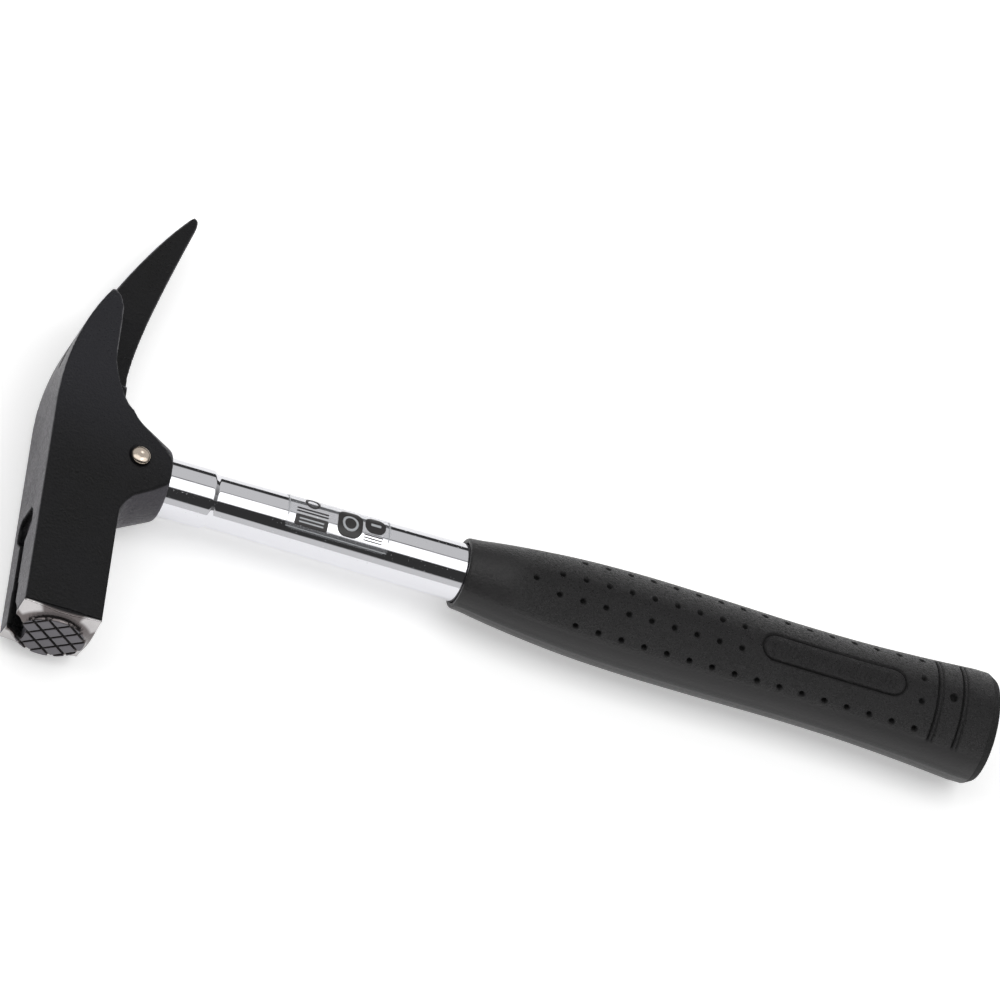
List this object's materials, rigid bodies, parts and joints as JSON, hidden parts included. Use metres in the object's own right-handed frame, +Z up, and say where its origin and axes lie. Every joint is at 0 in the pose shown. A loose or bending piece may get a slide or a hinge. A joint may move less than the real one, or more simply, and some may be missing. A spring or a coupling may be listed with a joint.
{
  "type": "roofing claw hammer",
  "caption": "Roofing hammer with a waffle face, magnetic nail groove, short tine and long spike, riveted to a chromed tube handle with a rubber grip.",
  "frame": {"origin": "centre of the underside of the bounding box, with the hammer lying on its side", "axes": "+X along the handle from the head to the grip's end, +Y from the striking face towards the claw, +Z up, across the head from the spike's side to the tine's side"},
  "size_m": [0.325, 0.169, 0.0334],
  "materials": {
    "forged_steel": "black paint over forged scale, ground bright around the striking face",
    "magnet_metal": "nickel-plated magnet",
    "rivet_steel": "upset domed rivet, warm nickel",
    "tube_chrome": "bright chrome plate",
    "core_wood": "turned hardwood",
    "plug_plastic": "moulded black",
    "grip_rubber": "moulded black rubber with a fine grain",
    "label_film": null
  },
  "bodies": {
    "root": {"hammer_head": "forged_steel", "nail_magnet": "magnet_metal", "head_rivet": "rivet_steel", "handle_tube": "tube_chrome", "tube_core": "core_wood", "tube_plug": "plug_plastic", "grip": "grip_rubber", "handle_label": "label_film"}
  },
  "joints": []
}
